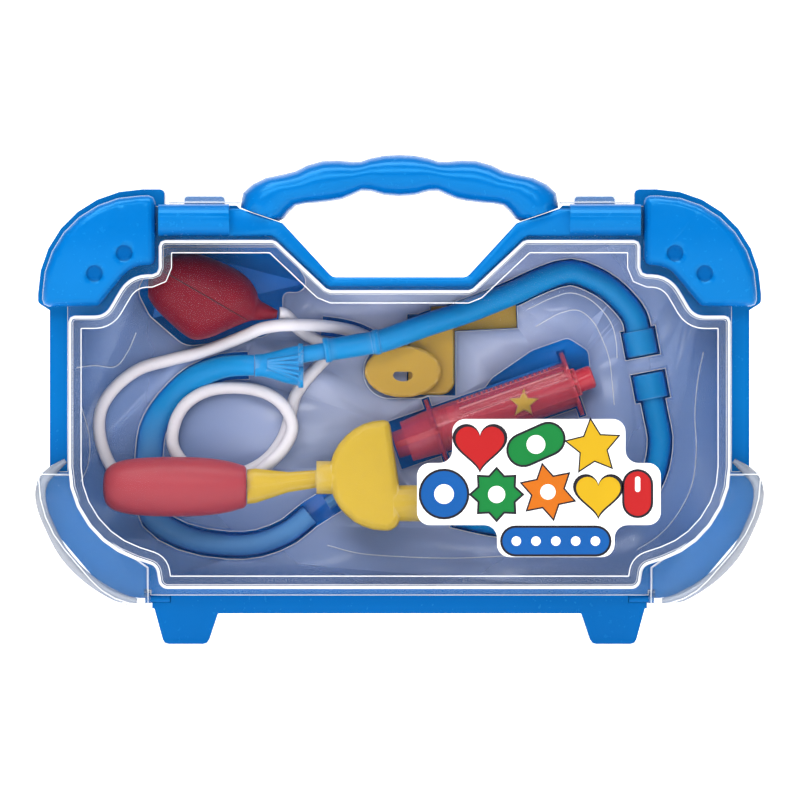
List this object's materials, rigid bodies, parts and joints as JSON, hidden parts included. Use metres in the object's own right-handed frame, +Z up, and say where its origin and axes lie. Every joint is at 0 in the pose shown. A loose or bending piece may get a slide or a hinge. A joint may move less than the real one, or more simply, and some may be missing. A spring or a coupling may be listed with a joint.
{
  "type": "toy doctor case",
  "caption": "Toy doctor case with a finger-grip handle, a clear hinged lid with blue trim and snap clasps, and toy instruments in a formed tray.",
  "frame": {"origin": "on the table plane, under the middle of the bounding box", "axes": "+X to the right seen from the front, -Y towards the viewer of the clear lid, +Z up along the standing case"},
  "size_m": [0.3404, 0.074, 0.2294],
  "materials": {
    "case_blue": "gloss",
    "stethoscope_blue": "gloss",
    "toy_red": "gloss",
    "bulb_red": "satin",
    "toy_yellow": "gloss",
    "hose_white": "satin",
    "clear_lid": "clear gloss",
    "clear_tray": "clear gloss",
    "label_paper": "satin"
  },
  "bodies": {
    "case": {"rear_shell": "case_blue", "handle_grip_rear": "case_blue", "hinge_pin_left": "case_blue", "hinge_pin_right": "case_blue", "insert_tray": "clear_tray", "otoscope_grip": "toy_red", "otoscope_head": "toy_yellow", "otoscope_speculum": "toy_yellow", "syringe_barrel": "toy_red", "stethoscope_fork": "stethoscope_blue", "ear_tube_upper": "stethoscope_blue", "ear_tip_upper": "stethoscope_blue", "ear_tube_lower": "stethoscope_blue", "ear_tip_lower": "stethoscope_blue", "stethoscope_hose": "stethoscope_blue", "chest_piece": "stethoscope_blue", "chest_diaphragm": "hose_white", "pump_bulb": "bulb_red", "pump_hose": "hose_white", "pump_hose_plug": "hose_white", "gauge_dial": "toy_yellow", "gauge_bracket": "toy_yellow"},
    "lid": {"lid_window": "clear_lid", "front_trim": "case_blue", "handle_grip_front": "case_blue", "corner_cap_left": "case_blue", "corner_cap_right": "case_blue", "lid_sticker": "label_paper"},
    "latch_left": {"latch_clasp_left": "clear_lid"},
    "latch_right": {"latch_clasp_right": "clear_lid"},
    "plunger": {"syringe_plunger": "toy_red", "plunger_seal": "bulb_red"}
  },
  "joints": [
    {"name": "lid_hinge", "type": "hinge", "parent": "case", "child": "lid", "pos_m": [0, -0.0175, 0.021], "axis": [1, 0, 0], "range_deg": [0, 90]},
    {"name": "latch_left_hinge", "type": "hinge", "parent": "lid", "child": "latch_left", "pos_m": [-0.0915, -0.02, 0.207], "axis": [1, 0, 0], "range_deg": [0, 70]},
    {"name": "latch_right_hinge", "type": "hinge", "parent": "lid", "child": "latch_right", "pos_m": [0.0915, -0.02, 0.207], "axis": [1, 0, 0], "range_deg": [0, 70]},
    {"name": "plunger_slide", "type": "slide", "parent": "case", "child": "plunger", "axis": [0.9438, 0, 0.3305], "range_m": [0, 0.04]}
  ]
}
